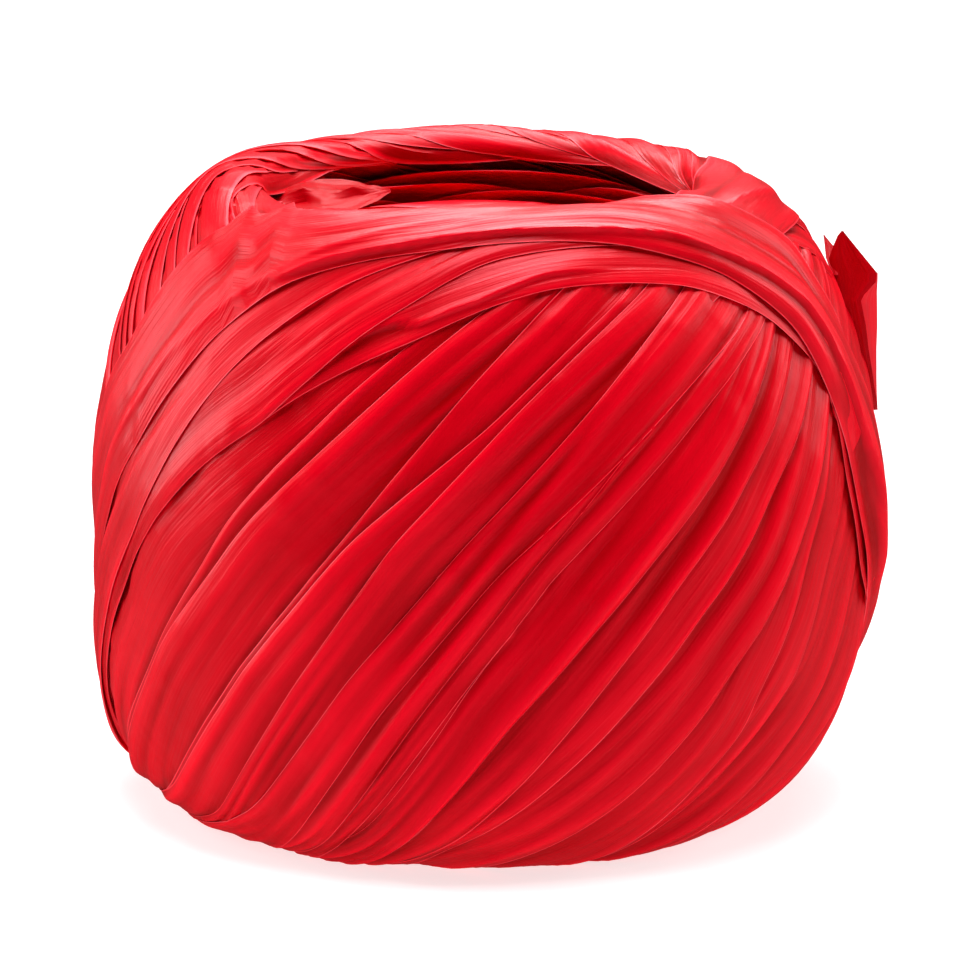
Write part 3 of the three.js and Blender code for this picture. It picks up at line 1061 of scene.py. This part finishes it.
class RAFFIA_OT_slanting_turns(bpy.types.Operator):
    """Adds the slanting turns that cover the front and, behind it, the back"""
    bl_idname = "raffia.slanting_turns"
    bl_label = "Slanting turns"

    def execute(self, context):
        film = film_material("raffia_film_turns", context.scene.raffia_film, SLANTING_SHINE)
        for side in ("right", "left"):
            bands = winding()[side]
            stand_for(joined_bands(f"turns_{side}_first", bands[:5], film), "ball")
            stand_for(joined_bands(f"turns_{side}_second", bands[5:], film), "ball")
        return {"FINISHED"}


class RAFFIA_OT_last_turns(bpy.types.Operator):
    """Adds the wide last turns over the near rim"""
    bl_idname = "raffia.last_turns"
    bl_label = "Last turns"

    def execute(self, context):
        film = film_material("raffia_film_last", context.scene.raffia_film)
        stand_for(joined_bands("turns_last", winding()["last"], film), "ball")
        return {"FINISHED"}


class RAFFIA_OT_mouth_lining(bpy.types.Operator):
    """Adds the older, smaller turns that line the two mouths of the hole"""
    bl_idname = "raffia.mouth_lining"
    bl_label = "Mouth lining"

    def execute(self, context):
        film = film_material("raffia_film_lining", context.scene.raffia_film)
        bands = []
        for number in range(LINING_TURNS):
            grown = number / (LINING_TURNS - 1)
            scale = LINING_SMALLEST + (LINING_LARGEST - LINING_SMALLEST) * grown
            rng = np.random.default_rng(SEEDS["lining_width"] + number)
            half = np.full(LINING_STEPS, LINING_WIDTH / 2 / scale * rng.uniform(0.8, 1.2))
            turn = Turn(number * GOLDEN_ANGLE, -half, half, SEEDS["lining"] + number,
                        steps=LINING_STEPS, strands=LINING_STRANDS, gathers=5, tilt=LINING_TILT)
            aims = turn.aims(turn.along[:, None], turn.middle[:, None] + turn.half[:, None] * turn.across)
            bands.append(band(turn, aims, turn.relief(), scale=scale))
        middle = len(bands) // 2
        stand_for(joined_bands("turns_lining_inner", bands[:middle], film), "ball")
        stand_for(joined_bands("turns_lining_outer", bands[middle:], film), "ball")
        return {"FINISHED"}


class RAFFIA_OT_loose_ends(bpy.types.Operator):
    """Adds the strip's two loose ends: the folded outer one and the crumpled inner one"""
    bl_idname = "raffia.loose_ends"
    bl_label = "Loose ends"

    def execute(self, context):
        film = film_material("raffia_film_outer_end", context.scene.raffia_film)
        inner_film = film_material("raffia_film_inner_end", context.scene.raffia_film, INNER_END_SHINE)
        grids = [
            finer(panel_of(OUTER_PANEL, 5), 4),
            finer(panel_of(OUTER_FLAP, 4), 4),
            finer(panel_of(OUTER_TONGUE, 3), 4),
        ]
        grids = [crumpled(grid, SEEDS["outer_end"] + i, OUTER_CRUMPLING) for i, grid in enumerate(grids)]
        outer = sheet_piece("end_outer", grids, OUTER_PAINTED_LIGHT, film)
        stand_for(outer, "outer_end")
        points = np.array([[seen_at(*place) for place in station.values()] for station in INNER_END])
        grid = crumpled(finer(points, 5), SEEDS["inner_end"], INNER_CRUMPLING)
        inner = sheet_piece("end_inner", [grid], INNER_PAINTED_LIGHT, inner_film)
        stand_for(inner, "inner_end")
        return {"FINISHED"}


class RAFFIA_OT_stage(bpy.types.Operator):
    """Sets the floor, the soft lights and the camera"""
    bl_idname = "raffia.stage"
    bl_label = "Stage"

    def execute(self, context):
        settings = context.scene.raffia_stage
        middle = Vector((AXIS_X * MM, AXIS_Y * MM, EQUATOR_HEIGHT * MM))
        tilt = settings.elevation
        back = Vector((0, -math.cos(tilt), math.sin(tilt)))
        up = Vector((0, math.sin(tilt), math.cos(tilt)))
        bpy.ops.object.camera_add()
        camera = bpy.context.object
        camera.name = "camera"
        right = Vector((CAMERA_RIGHT * MM, 0, 0))
        camera.location = middle + back * settings.distance + right - up * CAMERA_DOWN * MM
        camera.rotation_euler = (math.pi / 2 - tilt, 0, 0)
        camera.data.sensor_width = SENSOR_WIDTH
        camera.data.lens = SENSOR_WIDTH * settings.distance / (VIEW_WIDTH * MM)
        camera.data.clip_start, camera.data.clip_end = 0.01, 20
        context.scene.camera = camera
        bpy.ops.mesh.primitive_plane_add(size=FLOOR_SIZE, location=(0, 0, 0))
        floor = bpy.context.object
        floor.name = "floor"
        paint = bpy.data.materials.new("floor_paint")
        paint.use_nodes = True
        shader = paint.node_tree.nodes["Principled BSDF"]
        shader.inputs["Base Color"].default_value = (*settings.floor_colour, 1)
        shader.inputs["Roughness"].default_value = 0.9
        shader.inputs["Emission Color"].default_value = (1, 1, 1, 1)
        shader.inputs["Emission Strength"].default_value = FLOOR_GLOW
        floor.data.materials.append(paint)
        floor.visible_glossy = False
        world = bpy.data.worlds.new("studio")
        context.scene.world = world
        world.use_nodes = True
        background = world.node_tree.nodes["Background"]
        background.inputs["Color"].default_value = (1, 1, 1, 1)
        background.inputs["Strength"].default_value = WORLD_GLOW
        for row in LIGHTS:
            bpy.ops.object.light_add(type="AREA", location=row["place"])
            light = bpy.context.object
            light.name = row["name"]
            light.data.shape = "SQUARE"
            light.data.size = row["size"]
            light.data.energy = row["watts"]
            light.visible_diffuse = row["name"] != "light_sheen"
            light.rotation_euler = (middle - Vector(row["place"])).to_track_quat("-Z", "Y").to_euler()
        context.scene.view_settings.view_transform = "Standard"
        return {"FINISHED"}


OPERATORS = (
    RAFFIA_OT_stage,
    RAFFIA_OT_mouth_lining,
    RAFFIA_OT_under_turns,
    RAFFIA_OT_slanting_turns,
    RAFFIA_OT_last_turns,
    RAFFIA_OT_loose_ends,
)


class RAFFIA_PT_panel(bpy.types.Panel):
    bl_label = "Raffia ball"
    bl_idname = "RAFFIA_PT_panel"
    bl_space_type = "VIEW_3D"
    bl_region_type = "UI"
    bl_category = "Raffia"

    def draw(self, context):
        for operator in OPERATORS:
            self.layout.operator(operator.bl_idname)


CLASSES = (RaffiaFilmSettings, RaffiaStageSettings, *OPERATORS, RAFFIA_PT_panel)


def register():
    for made in CLASSES:
        bpy.utils.register_class(made)
    bpy.types.Scene.raffia_film = bpy.props.PointerProperty(type=RaffiaFilmSettings)
    bpy.types.Scene.raffia_stage = bpy.props.PointerProperty(type=RaffiaStageSettings)


def unregister():
    del bpy.types.Scene.raffia_stage
    del bpy.types.Scene.raffia_film
    for made in reversed(CLASSES):
        bpy.utils.unregister_class(made)


def main():
    register()
    bpy.ops.raffia.stage()
    bpy.ops.raffia.mouth_lining()
    bpy.ops.raffia.under_turns()
    bpy.ops.raffia.slanting_turns()
    bpy.ops.raffia.last_turns()
    bpy.ops.raffia.loose_ends()


if __name__ == "__main__":
    main()
